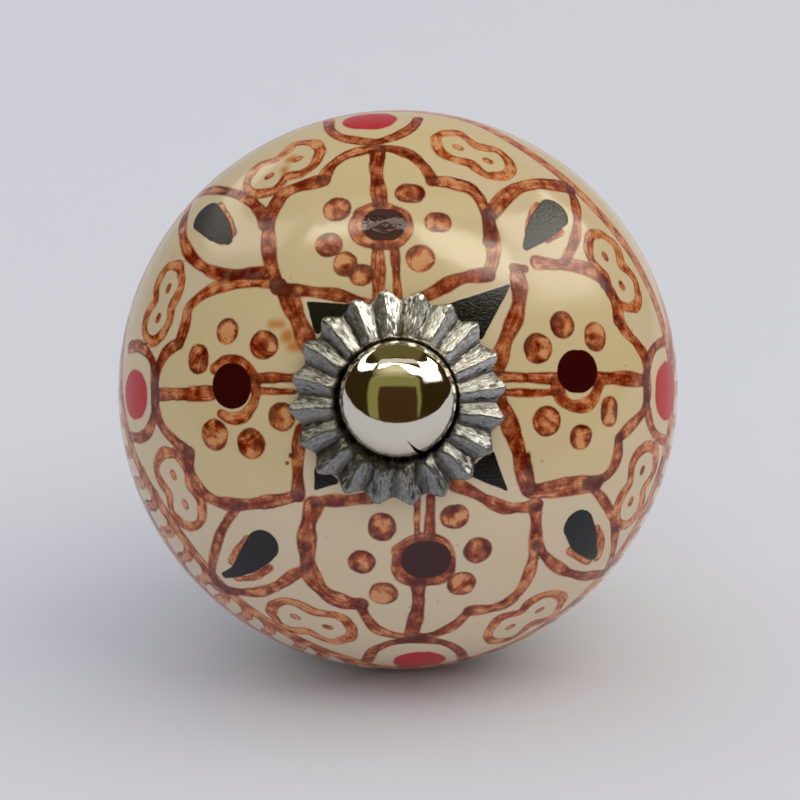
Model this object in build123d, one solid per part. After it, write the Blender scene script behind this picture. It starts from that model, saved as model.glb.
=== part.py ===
from build123d import *
from math import acos, cos, degrees, pi, sin, sqrt, tan
import os

# A round ceramic cabinet knob, clamped together on one bolt. From the front:
# pressed dome cap over the bolt head, fluted rosette, ceramic body, pressed
# back ferrule, and inside the ferrule a washer and a hex nut.
# Every piece is drawn about Z, with the drawer's face at Z = 0 and the front
# of the knob towards +Z. It is then turned so that the front faces -Y, the
# bolt runs along +Y into the drawer, and Z is up.

# Ceramic body
ceramic_diameter = 40.0
front_rise = 14.0  # equator to the pole of the front dome
back_rise = 10.4  # foot to the equator
foot_diameter = 17.0
glaze_round = 0.5  # softened edges of the foot and the bore

# Bolt, with an ISO metric thread of size M4
thread_diameter = 4.0
thread_pitch = 0.7
root_share = 1.2269  # thread depth over both sides, in pitches
rolled_share = 0.6495  # plain shank that the thread is rolled on, in pitches
nut_share = 1.0825  # thread depth of the nut over both sides, in pitches
shank_reach = 22.5  # thread past the drawer's face
tip_chamfer = 0.5

# Room for the bolt in each piece that it passes through, at the radius
ceramic_clearance = 0.75
sheet_clearance = 0.2
washer_clearance = 0.15

# Dome cap pressed over the bolt head, and the split in its rim
cap_diameter = 8.0
cap_rise = 2.8
cap_skirt = 0.7  # upright part of the bolt head below the dome
cap_round = 0.9  # pressed corner between the skirt and the dome
cap_sheet = 0.35
cap_lip = 0.9  # width of the rim turned in under the bolt head
head_clearance = 0.05  # bolt head inside the cap
split_angle = -73.0  # from +X towards +Y
split_width = 0.45
split_height = 0.75

# Fluted rosette
rosette_diameter = 14.8  # across the tips of the scallops, before rounding
rosette_sheet = 0.5
rosette_turn = 6.75  # one ridge, from +X towards +Y
hub_gap = 0.15  # flat floor showing round the cap
flute_count = 20
flute_lead = 0.45  # run from the flat floor up to the full flutes
flute_start_height = 0.55  # ridge above valley, beside the floor
flute_rim_height = 0.75  # ridge above valley, at the rim
flute_shoulder = (0.24, 0.88)  # rounded ridge: share of the half width, of the height
flute_foot = (0.84, 0.08)  # rounded valley, in the same shares
flute_clearance = 0.08  # valleys above the glaze
scallop_depth = 0.6
scallop_round = 0.3
rim_trim = 0.3  # sheet punched away outside the scallop tips

# Hex nut and washer
nut_across_flats = 7.0
nut_thickness = 3.2
nut_recess = 0.6  # nut behind the drawer's face
washer_diameter = 9.0
washer_thickness = 0.8

# Back ferrule, measured to the middle of its sheet
ferrule_sheet = 0.8
ferrule_room = 3.3  # from the washer out to the wall
ferrule_flare = 1.1  # wall leaning out towards the drawer
flange_width = 1.8
shoulder_bend = 1.4
flange_bend = 0.9

# Radii that follow from the sizes above
thread_radius = thread_diameter / 2
root_radius = (thread_diameter - root_share * thread_pitch) / 2
rolled_radius = (thread_diameter - rolled_share * thread_pitch) / 2
nut_bore_radius = (thread_diameter - nut_share * thread_pitch) / 2
bore_radius = thread_radius + ceramic_clearance
sheet_hole_radius = thread_radius + sheet_clearance
hub_radius = cap_diameter / 2 + hub_gap
flute_start_radius = hub_radius + flute_lead
rim_radius = rosette_diameter / 2 + rim_trim

# Heights above the drawer's face
nut_top = nut_recess + nut_thickness
ferrule_floor = nut_top + washer_thickness
foot_height = ferrule_floor + ferrule_sheet
equator_height = foot_height + back_rise


def dome_height(radius):
    return equator_height + front_rise * sqrt(1 - (2 * radius / ceramic_diameter) ** 2)


seat_height = dome_height(flute_start_radius)
hub_top = seat_height + rosette_sheet
head_base = hub_top + cap_sheet


def nearest_corner(face, point):
    return face.vertices().sort_by_distance(point)[0]


def ceramic_body():
    half = ceramic_diameter / 2
    back_axis = back_rise / sqrt(1 - (foot_diameter / ceramic_diameter) ** 2)
    seat_turn = degrees(acos(flute_start_radius / half))
    foot_turn = degrees(acos(foot_diameter / ceramic_diameter))
    centre = (0, equator_height)
    front = EllipticalCenterArc(centre, half, front_rise, arc_size=seat_turn)
    back = EllipticalCenterArc(centre, half, back_axis, -foot_turn, arc_size=foot_turn)
    bore_front = (bore_radius, seat_height)
    bore_back = (bore_radius, foot_height)
    inside = Polyline(front @ 1, bore_front, bore_back, back @ 0)
    section = make_face(front.edges() + inside.edges() + back.edges())
    soft = [nearest_corner(section, p) for p in (bore_front, bore_back, back @ 0)]
    return revolve(Plane.XZ * fillet(soft, glaze_round), Axis.Z)


def flute_section(radius, valley, ridge):
    """The sheet's section across one flute, square to the ridge at a radius."""
    half = radius * tan(pi / flute_count)
    rise = ridge - valley
    right = [(x * half, valley + up * rise) for x, up in ((0, 1), flute_shoulder, flute_foot, (1, 0))]
    left = [(-x, up) for x, up in reversed(right[1:])]
    top = left + right
    bottom = [(x, up - rosette_sheet) for x, up in reversed(top)]
    face = make_face(Polyline(*top, *bottom, close=True))
    return Plane((radius, 0, 0), x_dir=(0, 1, 0), z_dir=(1, 0, 0)) * face


def scallop_outline():
    """A star of rounded tips, one over each ridge."""
    tip = rosette_diameter / 2
    notch = tip - scallop_depth
    step = pi / flute_count
    corners = []
    for k in range(2 * flute_count):
        radius = notch if k % 2 else tip
        corners.append((radius * cos(k * step), radius * sin(k * step)))
    star = make_face(Polyline(*corners, close=True))
    return fillet(star.vertices(), scallop_round)


def front_rosette():
    """A floor under the cap, and flutes that slope down along the ceramic dome."""
    rim_height = dome_height(rim_radius)
    middle = dome_height((flute_start_radius + rim_radius) / 2)
    bulge = middle - (seat_height + rim_height) / 2  # dome above a straight valley
    lift = flute_clearance + bulge + rosette_sheet
    start_valley = seat_height + lift
    rim_valley = rim_height + lift
    flute = loft(
        [
            flute_section(hub_radius, hub_top, hub_top),
            flute_section(flute_start_radius, start_valley, start_valley + flute_start_height),
            flute_section(rim_radius, rim_valley, rim_valley + flute_rim_height),
        ],
        ruled=True,
    )
    floor = RegularPolygon(hub_radius, flute_count, major_radius=False)
    floor = Rot(0, 0, 180 / flute_count) * floor - Circle(sheet_hole_radius)
    sheet = Pos(0, 0, seat_height) * extrude(floor, rosette_sheet)
    for k in range(flute_count):
        sheet += Rot(0, 0, k * 360 / flute_count) * flute
    punched = sheet & extrude(scallop_outline(), 2 * seat_height)
    return Rot(0, 0, rosette_turn) * punched


def dome_face(inset, base):
    """Half section of the cap's dome, drawn in from its outside by an inset."""
    radius = cap_diameter / 2 - inset
    shoulder = head_base + cap_skirt
    top = shoulder + cap_rise - inset
    crown = TangentArc((0, top), (radius, shoulder), tangent=(1, 0))
    sides = Polyline((radius, shoulder), (radius, base), (0, base), (0, top))
    face = make_face(crown.edges() + sides.edges())
    return fillet(nearest_corner(face, (radius, shoulder)), cap_round - inset)


def dome_cap():
    lip_radius = cap_diameter / 2 - cap_lip
    mouth = Pos(0, hub_top) * Rectangle(lip_radius, cap_sheet, align=Align.MIN)
    section = dome_face(0, hub_top) - dome_face(cap_sheet, head_base) - mouth
    shell = revolve(Plane.XZ * section, Axis.Z)
    left = (-split_width / 2, 0)
    right = (split_width / 2, 0)
    wedge = make_face(Polyline(left, right, (0, split_height), close=True))
    split = Pos(0, 0, hub_top) * extrude(Plane.YZ * wedge, cap_diameter)
    return shell - Rot(0, 0, split_angle) * split


def through_bolt():
    """Head inside the cap, plain shank, thread core in the nut, free thread."""
    tip = -shank_reach
    shank = Polyline(
        (0, head_base),
        (rolled_radius, head_base),
        (rolled_radius, nut_top),
        (root_radius, nut_top),
        (root_radius, nut_recess),
        (thread_radius, nut_recess),
        (thread_radius, tip + tip_chamfer),
        (thread_radius - tip_chamfer, tip),
        (0, tip),
        close=True,
    )
    head = dome_face(cap_sheet + head_clearance, head_base)
    return revolve(Plane.XZ * (head + make_face(shank)), Axis.Z)


def back_ferrule():
    """A flanged cup of sheet metal, its floor against the ceramic's foot."""
    middle = ferrule_sheet / 2
    shoulder = washer_diameter / 2 + ferrule_room
    waist = shoulder + ferrule_flare
    spine = FilletPolyline(
        (sheet_hole_radius, ferrule_floor + middle),
        (shoulder, ferrule_floor + middle),
        (waist, middle),
        (waist + flange_width, middle),
        radius=[shoulder_bend, flange_bend],
    )
    return revolve(Plane.XZ * trace(spine, ferrule_sheet), Axis.Z)


def nut_washer():
    ring = Circle(washer_diameter / 2) - Circle(thread_radius + washer_clearance)
    return Pos(0, 0, nut_top) * extrude(ring, washer_thickness)


def hex_nut():
    """A hexagon turned down at both ends, so that its corners are rounded off."""
    flat_radius = nut_across_flats / 2
    corner_radius = flat_radius / cos(pi / 6)
    hexagon = RegularPolygon(flat_radius, 6, major_radius=False)
    blank = extrude(hexagon - Circle(nut_bore_radius), nut_thickness)
    drop = corner_radius - flat_radius
    bottom_up = (Align.CENTER, Align.CENTER, Align.MIN)
    bar = Cylinder(corner_radius, nut_thickness, align=bottom_up)
    rims = bar.edges().filter_by(GeomType.CIRCLE)
    turned = chamfer(rims, drop * tan(pi / 6), drop)
    return Pos(0, 0, nut_recess) * (blank & turned)


pieces = {
    "ceramic_body": ceramic_body,
    "front_rosette": front_rosette,
    "dome_cap": dome_cap,
    "through_bolt": through_bolt,
    "back_ferrule": back_ferrule,
    "nut_washer": nut_washer,
    "hex_nut": hex_nut,
}

os.makedirs("parts", exist_ok=True)
for name, make in pieces.items():
    piece = Rot(90, 0, 0) * make()
    export_step(piece, f"parts/{name}.step")
    print(name, round(piece.volume, 1), "mm3")
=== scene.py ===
import bpy
import bmesh
import random
import numpy as np
from math import acos, atan2, ceil, cos, hypot, pi, radians, sin, sqrt, tau
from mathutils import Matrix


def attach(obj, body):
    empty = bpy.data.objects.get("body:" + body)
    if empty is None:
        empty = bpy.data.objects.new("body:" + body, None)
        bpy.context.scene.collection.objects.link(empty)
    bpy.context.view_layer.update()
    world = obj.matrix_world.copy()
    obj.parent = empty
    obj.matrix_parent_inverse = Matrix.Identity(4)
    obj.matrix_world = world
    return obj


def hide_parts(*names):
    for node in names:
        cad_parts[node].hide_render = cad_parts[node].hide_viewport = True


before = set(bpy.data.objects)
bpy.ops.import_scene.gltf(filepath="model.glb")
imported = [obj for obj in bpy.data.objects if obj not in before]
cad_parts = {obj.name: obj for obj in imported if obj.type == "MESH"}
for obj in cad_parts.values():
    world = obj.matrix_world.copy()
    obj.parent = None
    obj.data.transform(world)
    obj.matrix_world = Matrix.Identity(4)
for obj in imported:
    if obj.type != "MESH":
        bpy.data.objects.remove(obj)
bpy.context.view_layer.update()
mm = 0.001  # sizes below are in millimetres; h is the height above the drawer, so y = -h
onFace, onRing, weld = 0.01, 0.05, 0.002  # within these a point lies on a face or a ring, or is merged
print("frame loaded:", ", ".join(sorted(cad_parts)))


# Small helpers

def hexColour(code):
    channels = [int(code[k:k + 2], 16) / 255 for k in (1, 3, 5)]
    linear = [c / 12.92 if c <= 0.04045 else ((c + 0.055) / 1.055) ** 2.4 for c in channels]
    return (*linear, 1.0)


def newMaterial(name):
    material = bpy.data.materials.new(name)
    material.use_nodes = True
    material.node_tree.nodes.clear()
    return material, material.node_tree


def addNode(tree, kind, inputs=(), out=0, **settings):  # inputs in order, or by place or name; gives one output
    node = tree.nodes.new("ShaderNode" + kind)
    for key, value in settings.items():
        setattr(node, key, value)
    for key, value in inputs.items() if isinstance(inputs, dict) else enumerate(inputs):
        if isinstance(value, bpy.types.NodeSocket):
            tree.links.new(value, node.inputs[key])
        else:
            node.inputs[key].default_value = value
    return node.outputs[out] if node.outputs else None


def placeInMm(tree):  # Object coordinates, in millimetres
    position = addNode(tree, "TexCoord", out="Object")
    return addNode(tree, "VectorMath", {0: position, "Scale": 1 / mm}, operation="SCALE")


def platedSurface(tree, colour, gloss, relief):  # a metal's colour and gloss over its fine relief
    bump = addNode(tree, "Bump", relief)
    shader = addNode(tree, "BsdfPrincipled", {
        "Base Color": colour, "Metallic": 1.0, "Roughness": gloss, "Normal": bump})
    addNode(tree, "OutputMaterial", {"Surface": shader})


def startPiece(name):
    bpy.ops.object.select_all(action="DESELECT")
    obj = bpy.context.object
    obj.select_set(True)
    obj.name = obj.data.name = name
    bpy.ops.object.mode_set(mode="EDIT")
    bpy.ops.mesh.select_all(action="SELECT")
    return obj


def pick(obj, test):  # selects the vertices whose radius, height and angle pass
    bpy.ops.mesh.select_mode(type="VERT")
    bpy.ops.mesh.select_all(action="DESELECT")
    mesh = bmesh.from_edit_mesh(obj.data)
    for vert in mesh.verts:
        x, y, z = vert.co / mm
        vert.select = bool(test(hypot(x, z), -y, atan2(z, x)))
    mesh.select_flush(True)
    bmesh.update_edit_mesh(obj.data)


def drawProfile(name, points):  # a chain of vertices, extruded one after the other
    bpy.ops.mesh.primitive_plane_add(size=mm)
    obj = startPiece(name)
    bpy.ops.mesh.merge(type="CENTER")
    (r, h), *rest = points
    bpy.ops.transform.translate(value=(r * mm, -h * mm, 0))
    for nextR, nextH in rest:
        move = ((nextR - r) * mm, (h - nextH) * mm, 0)
        bpy.ops.mesh.extrude_vertices_move(TRANSFORM_OT_translate={"value": move})
        r, h = nextR, nextH
    return obj


def turnProfile(steps):  # the chain goes once round the bolt's axis
    bpy.ops.mesh.select_all(action="SELECT")
    bpy.ops.mesh.spin(steps=steps, angle=tau, center=(0, 0, 0), axis=(0, 1, 0))
    bpy.ops.mesh.select_all(action="SELECT")
    bpy.ops.mesh.remove_doubles(threshold=weld * mm)
    bpy.ops.mesh.normals_make_consistent(inside=False)


def scaleRound(k):  # scales what is selected about the bolt's axis
    bpy.ops.transform.resize(value=(k, 1, k), center_override=(0, 0, 0))


def activate(*objects):  # the last one becomes the active object
    bpy.ops.object.select_all(action="DESELECT")
    for obj in objects:
        obj.select_set(True)
    bpy.context.view_layer.objects.active = objects[-1]


def addModifier(obj, kind, **settings):
    modifier = obj.modifiers.new(kind.title(), kind)
    for key, value in settings.items():
        setattr(modifier, key, value)
    bpy.ops.object.modifier_apply(modifier=modifier.name)


def readMesh(items, field, width=1, kind=float):  # a row of numbers for each vertex, corner or face
    values = np.empty(len(items) * width, kind)
    items.foreach_get(field, values)
    return values.reshape(-1, width) if width > 1 else values


def finishPiece(obj, node, material):
    obj.data.materials.clear()
    obj.data.materials.append(material)
    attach(obj, "root")
    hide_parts(node)
    print(node, "modelled:", len(obj.data.vertices), "vertices")


# Ceramic body: a flattened ball, turned round the bolt

ceramic = {
    "half": 20.0, "equator": 15.8, "frontRise": 14.0, "backRise": 11.489,
    "seatRadius": 4.6, "footRadius": 8.5, "foot": 5.4, "footRound": 0.5, "bore": 2.75,
    "frontRings": 136, "backRings": 32, "segments": 560,
}


def domeRun(rise, start, end, steps):
    turns = np.linspace(start, end, steps + 1)
    return [(ceramic["half"] * cos(t), ceramic["equator"] + rise * sin(t)) for t in turns]


seatTurn = acos(ceramic["seatRadius"] / ceramic["half"])
footTurn = acos(ceramic["footRadius"] / ceramic["half"])
frontRun = domeRun(ceramic["frontRise"], seatTurn, 0, ceramic["frontRings"])
backRun = domeRun(ceramic["backRise"], 0, -footTurn, ceramic["backRings"])
seatHeight = frontRun[0][1]
boreFront, boreBack = (ceramic["bore"], seatHeight), (ceramic["bore"], ceramic["foot"])
body = drawProfile("ceramicBody", [boreFront, *frontRun, *backRun[1:], boreBack, boreFront])
turnProfile(ceramic["segments"])
pick(body, lambda r, h, a: abs(r - ceramic["footRadius"]) < onFace and h < ceramic["foot"] + onFace)
bpy.ops.mesh.select_mode(type="EDGE")
bpy.ops.mesh.bevel(offset=ceramic["footRound"] * mm, segments=3, affect="EDGES")
bpy.ops.object.mode_set(mode="OBJECT")
bpy.ops.object.shade_smooth()
print("ceramic turned:", len(body.data.polygons), "faces")

# Paint map: a large disc for the front, a small one for the back and a patch for the bore
paintSquare = {
    "behind": 3.2,  # width behind the equator that the front's disc takes in
    "frontMiddle": 0.42, "frontReach": 0.41, "backMiddle": 0.835, "backReach": 0.155,
    "bore": (0.86, 0.02), "boreTurn": 0.02, "boreLong": 0.003,
}
places = readMesh(body.data.vertices, "co", 3) / mm
vertR, vertH = np.hypot(places[:, 0], places[:, 2]), -places[:, 1]
faceCentres = readMesh(body.data.polygons, "center", 3) / mm
faceSides = readMesh(body.data.polygons, "loop_total", kind=int)
loopVerts = readMesh(body.data.loops, "vertex_index", kind=int)
loopFaces = np.repeat(np.arange(len(faceSides)), faceSides)

# How far each point lies from the axis, measured along the ceramic's section
runR, runH = np.array([(0, seatHeight), *frontRun, *backRun[1:], (0, ceramic["foot"])]).T
walk = np.concatenate([[0], np.cumsum(np.hypot(np.diff(runR), np.diff(runH)))])
order = np.argsort(runH[1:-1])
domeH, domeWalk = runH[1:-1][order], walk[1:-1][order]
along = np.interp(vertH, domeH, domeWalk)
along = np.where(vertH > seatHeight - onFace, vertR, along)
along = np.where(vertH < ceramic["foot"] + onFace, walk[-1] - vertR, along)[loopVerts]
turn = np.arctan2(places[:, 2], places[:, 0])[loopVerts]

frontEnd = ceramic["equator"] - paintSquare["behind"]
frontWalk = np.interp(frontEnd, domeH, domeWalk)
isFront = (-faceCentres[:, 1] > frontEnd)[loopFaces]
isBore = (np.hypot(faceCentres[:, 0], faceCentres[:, 2]) < ceramic["bore"] + onFace)[loopFaces]
reach = np.where(isFront, paintSquare["frontReach"] * along / frontWalk,
                 paintSquare["backReach"] * (walk[-1] - along) / (walk[-1] - frontWalk))
middle = np.where(isFront, paintSquare["frontMiddle"], paintSquare["backMiddle"])
boreU, boreV = paintSquare["bore"]
mapU = np.where(isBore, boreU + paintSquare["boreTurn"] * turn / pi, middle + reach * np.cos(turn))
mapV = np.where(isBore, boreV + paintSquare["boreLong"] * vertH[loopVerts], middle + reach * np.sin(turn))
paintMap = body.data.uv_layers.new(name="OFBake")
paintMap.data.foreach_set("uv", np.column_stack([mapU, mapV]).ravel())


# Brush strokes, read in the plan view of the knob's face: x to the right, z up
# A stroke is its width and then its points. A dot is x, z and two half widths.

topPetal = {
    "outline": [
        [0.62, (-1.9, 6.3), (-4.0, 7.0), (-6.0, 7.25), (-8.0, 7.45)],
        [0.75, (-8.3, 7.7), (-8.8, 9.4), (-8.95, 11.0), (-8.75, 12.6), (-8.0, 13.9), (-6.8, 14.5), (-5.2, 14.9)],
        [0.62, (-5.2, 14.9), (-4.7, 15.8), (-3.5, 16.7), (-1.2, 17.15), (0.6, 16.8), (1.8, 15.9), (2.4, 14.85)],
        [0.7, (2.4, 14.85), (3.8, 14.7), (5.2, 14.2), (6.0, 12.9), (6.45, 11.2), (6.55, 9.6), (6.2, 8.4)],
        [0.7, (6.2, 8.4), (5.0, 8.3), (3.9, 8.0), (2.4, 7.2), (1.2, 6.6)],
    ],
    "veins": [
        [0.72, (-1.35, 17.0), (-1.5, 15.5), (-1.2, 13.2)],
        [0.66, (-1.4, 10.5), (-1.35, 8.6), (-1.35, 6.6)],
        [0.45, (-0.25, 10.4), (-0.1, 8.6), (0.0, 6.6)],
    ],
    "rings": [[0.8, (-2.5, 12.5), (-1.2, 12.95), (0.2, 12.5), (0.45, 11.7), (-0.1, 10.8), (-1.2, 10.55),
               (-2.4, 10.9), (-2.8, 11.7), (-2.5, 12.5)]],
    "eye": (-0.95, 11.85, 1.55, 1.2),
    "dots": [(-4.2, 12.9, 0.95, 0.9), (0.85, 14.0, 1.0, 0.75), (2.75, 12.0, 0.9, 0.75), (1.55, 9.55, 0.95, 0.95),
             (-4.75, 10.45, 0.9, 0.9), (-3.6, 9.15, 0.8, 0.85), (-2.5, 8.4, 0.8, 0.75)],
    "berry": (-2.0, 19.2, 1.95, 1.6),
    "berryRing": [0.6, (-4.9, 19.2), (-4.75, 18.5), (-4.0, 17.95), (-1.8, 17.6), (-0.3, 17.95), (0.9, 18.6),
                  (1.45, 19.3)],
    "cream": 0.5, "pools": [(-8.2, 7.6, 0.62, 0.68), (6.3, 11.6, 0.5, 1.4)],
}
rightPetal = {
    "outline": [
        [0.8, (6.75, 2.0), (7.4, 4.0), (8.1, 5.6), (8.35, 7.0), (8.2, 8.6)],
        [0.68, (9.55, 9.25), (10.8, 9.1), (12.4, 8.95), (13.6, 8.5), (14.6, 7.5), (15.2, 6.3), (15.35, 5.2)],
        [0.6, (15.35, 5.2), (15.8, 4.5), (16.6, 3.6), (17.25, 2.6), (17.45, 1.2), (17.4, -0.4), (17.1, -1.3),
         (16.4, -2.0), (15.35, -3.0)],
        [0.6, (15.35, -3.0), (15.3, -4.2), (14.9, -5.2), (14.2, -5.8), (13.2, -6.1)],
        [0.9, (13.8, -6.1), (12.3, -6.2), (10.6, -6.4), (9.2, -6.5)],
        [0.85, (8.95, -6.35), (8.7, -5.2), (8.2, -3.4), (7.5, -1.4), (6.9, -0.1)],
    ],
    "veins": [
        [0.56, (6.9, 1.45), (9.0, 1.35), (11.0, 1.25)],
        [0.4, (7.0, 0.4), (9.0, 0.32), (11.2, 0.3)],
        [0.7, (13.6, 1.2), (15.2, 1.2), (17.3, 0.95)],
        [0.4, (7.9, 8.9), (8.75, 8.8)],
    ],
    "rings": [[0.65, (10.9, 1.0), (11.3, -0.2), (12.3, -0.7), (13.3, -0.4), (13.9, 0.7)]],
    "eye": (12.4, 1.75, 1.62, 1.5),
    "dots": [(11.3, 4.95, 0.9, 0.9), (13.65, 4.1, 0.85, 0.95), (9.6, 3.35, 1.0, 1.0), (10.25, -1.65, 1.0, 1.0),
             (14.65, -1.1, 0.7, 1.0), (12.65, -2.8, 0.85, 0.85)],
    "berry": (18.95, 0.1, 1.8, 2.1),
    "berryRing": [0.55, (18.7, 3.6), (18.0, 3.2), (17.5, 2.2), (17.35, 0.6), (17.4, -0.8), (17.75, -2.3),
                  (18.3, -3.1), (18.8, -3.4)],
    "cream": 0.6, "pools": [(13.4, -6.15, 0.7, 0.35), (14.4, 7.7, 0.5, 0.5), (8.95, -4.6, 0.2, 0.9)],
}
bottomPetal = {
    "outline": [
        [0.62, (-1.8, -6.8), (-3.5, -7.05), (-4.8, -7.1), (-5.65, -7.2)],
        [0.9, (-5.8, -7.45), (-6.15, -8.7), (-6.3, -10.4), (-6.15, -11.9), (-5.7, -13.0), (-4.8, -13.9),
         (-3.6, -14.4), (-2.6, -14.5)],
        [0.6, (-2.6, -14.5), (-2.2, -15.5), (-1.3, -16.5), (0.5, -17.0), (2.2, -16.9), (3.8, -16.2), (5.0, -15.05)],
        [0.66, (5.0, -15.05), (6.6, -14.9), (7.8, -14.4), (8.8, -13.2), (9.35, -11.5), (9.55, -9.6), (9.5, -7.75)],
        [0.62, (9.6, -7.5), (8.4, -7.65), (7.4, -7.65), (6.0, -7.0), (4.8, -6.3), (3.9, -6.0)],
    ],
    "veins": [
        [0.34, (1.3, -6.8), (1.3, -8.4), (1.35, -9.8)],
        [0.52, (2.25, -6.8), (2.2, -8.4), (2.15, -9.8)],
        [0.72, (1.4, -12.9), (1.4, -14.6), (0.9, -17.0)],
    ],
    "rings": [[0.75, (0.1, -10.6), (1.0, -9.95), (2.6, -9.95), (3.4, -10.7), (3.4, -12.0), (2.6, -12.65),
               (1.0, -12.7), (0.15, -12.0), (0.1, -10.6)]],
    "eye": (1.95, -11.25, 1.75, 1.45),
    "dots": [(-1.1, -8.9, 0.9, 1.0), (-2.5, -11.4, 0.9, 0.9), (-1.0, -13.7, 0.95, 0.9), (3.9, -8.2, 0.95, 0.85),
             (5.5, -10.6, 0.95, 0.95), (4.4, -13.0, 0.97, 0.95)],
    "berry": (1.5, -19.05, 1.9, 1.75),
    "berryRing": [0.55, (-2.2, -19.0), (-1.7, -18.1), (-0.4, -17.45), (1.5, -17.25), (3.2, -17.5), (4.3, -18.2),
                  (4.7, -19.2)],
    "cream": 0.1, "pools": [(-6.3, -11.0, 0.4, 1.0), (9.5, -9.9, 0.25, 0.8)],
}
leftPetal = {
    "outline": [
        [0.92, (-6.05, 3.5), (-6.4, 4.3), (-6.95, 5.6), (-7.5, 6.8), (-8.0, 7.5)],
        [0.62, (-8.6, 7.9), (-10.5, 7.85), (-12.2, 7.6), (-13.5, 7.0), (-14.5, 6.1), (-14.75, 4.9), (-15.2, 3.6)],
        [0.6, (-15.2, 3.6), (-16.1, 3.0), (-16.7, 1.9), (-16.95, 0.4), (-16.9, -1.0), (-16.4, -2.3), (-15.5, -3.2),
         (-14.5, -4.0)],
        [0.66, (-14.5, -4.0), (-14.4, -5.3), (-13.7, -6.6), (-12.5, -7.35), (-11.0, -7.5), (-9.2, -7.3),
         (-6.95, -6.8)],
        [0.66, (-6.85, -6.75), (-6.85, -5.2), (-6.85, -3.8), (-6.6, -2.2)],
    ],
    "veins": [
        [0.7, (-12.8, 0.25), (-14.4, 0.12), (-16.6, 0.0)],
        [0.52, (-10.0, 1.25), (-8.6, 1.35), (-7.0, 1.35)],
        [0.34, (-10.0, 0.5), (-8.6, 0.45), (-7.0, 0.4)],
    ],
    "rings": [[0.55, (-12.6, 1.9), (-11.9, 2.5), (-10.9, 2.5), (-10.1, 1.6), (-9.75, 0.5), (-10.0, -0.6),
               (-10.7, -1.4), (-11.6, -1.5), (-12.2, -1.2)]],
    "eye": (-11.45, 0.75, 1.52, 1.58),
    "dots": [(-11.75, 4.5, 0.8, 0.85), (-9.2, 3.6, 1.0, 0.95), (-13.8, 2.55, 0.8, 1.0), (-7.95, -1.3, 0.9, 0.95),
             (-12.65, -2.65, 1.0, 1.05), (-10.1, -3.2, 1.0, 1.0), (-7.3, -3.95, 0.22, 0.2), (-7.6, -4.5, 0.12, 0.12)],
    "berry": (-18.5, -0.1, 1.75, 1.8),
    "berryRing": [0.58, (-18.9, 3.2), (-18.2, 3.3), (-17.5, 2.8), (-17.05, 1.9), (-17.0, 0.2), (-17.05, -1.4),
                  (-17.5, -2.7), (-18.2, -3.15), (-18.9, -3.1)],
    "cream": 0.62, "pools": [(-10.8, 8.4, 1.5, 0.3), (-10.8, -7.6, 0.5, 0.3)],
}
petals = [topPetal, rightPetal, bottomPetal, leftPetal]

# Leaf between two petals: outline, black drop with its round end first, brown shade, star tip
leaves = [
    {
        "outline": [
            [0.58, (-14.4, 13.85), (-13.2, 14.25), (-11.8, 14.1), (-10.5, 13.6), (-9.6, 12.8), (-9.2, 11.8)],
            [0.62, (-14.8, 13.2), (-15.15, 12.0), (-15.05, 10.8), (-14.5, 9.7), (-13.3, 8.75), (-11.8, 8.4),
             (-9.4, 8.55)],
        ],
        "drop": [(-13.45, 12.4, 1.2), (-12.5, 11.5, 0.95), (-11.75, 10.75, 0.34)],
        "shade": [[0.5, (-12.5, 13.2), (-11.85, 12.2), (-11.5, 11.2)], [0.35, (-13.1, 11.0), (-12.2, 10.6)]],
        "star": [(-6.15, 6.5), (-3.4, 6.2), (-5.5, 4.6)],
    },
    {
        "outline": [
            [0.75, (6.5, 12.6), (7.2, 13.5), (8.2, 14.3), (9.6, 14.65), (11.0, 14.6), (12.0, 14.4)],
            [0.55, (12.05, 14.4), (12.4, 13.4), (12.5, 12.2), (12.3, 10.8), (11.6, 9.4)],
        ],
        "drop": [(10.8, 12.6, 1.2), (9.85, 11.55, 0.95), (8.85, 10.3, 0.28)],
        "shade": [[0.4, (8.95, 11.3), (9.2, 12.3), (9.75, 13.2)], [0.4, (10.3, 10.75), (11.3, 11.35)]],
        "star": [(7.65, 7.7), (3.4, 6.2), (5.6, 4.2)],
    },
    {
        "outline": [
            [0.52, (13.6, -6.5), (14.5, -7.6), (15.1, -9.0), (15.25, -10.6), (14.95, -12.2), (14.6, -12.9)],
            [0.58, (9.7, -10.4), (10.4, -11.4), (11.6, -12.35), (13.0, -12.85), (14.4, -12.9)],
        ],
        "drop": [(12.55, -9.05, 1.2), (13.0, -10.1, 1.1), (13.75, -11.4, 0.36)],
        "shade": [[0.5, (13.85, -9.4), (14.25, -10.3), (14.05, -11.5)],
                  [0.45, (12.0, -10.85), (12.7, -11.45), (13.4, -11.8)]],
        "star": [(7.45, -6.35), (6.4, -3.9), (4.9, -5.1)],
    },
    {
        "outline": [
            [0.52, (-11.3, -7.9), (-12.2, -9.3), (-12.8, -11.0), (-13.05, -12.3), (-12.8, -13.4)],
            [0.6, (-12.9, -13.7), (-11.4, -13.9), (-9.8, -13.85), (-8.4, -13.3), (-7.3, -12.5), (-6.6, -12.1)],
        ],
        "drop": [(-9.35, -10.35, 1.2), (-10.2, -11.4, 0.98), (-11.2, -12.3, 0.5), (-12.15, -12.75, 0.27)],
        "shade": [[0.42, (-11.6, -11.7), (-11.2, -10.8), (-10.4, -9.95)],
                  [0.4, (-11.3, -12.9), (-10.1, -12.75), (-8.9, -11.95)]],
        "star": [(-5.65, -6.25), (-4.3, -5.7), (-5.5, -4.9)],
    },
]

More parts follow.
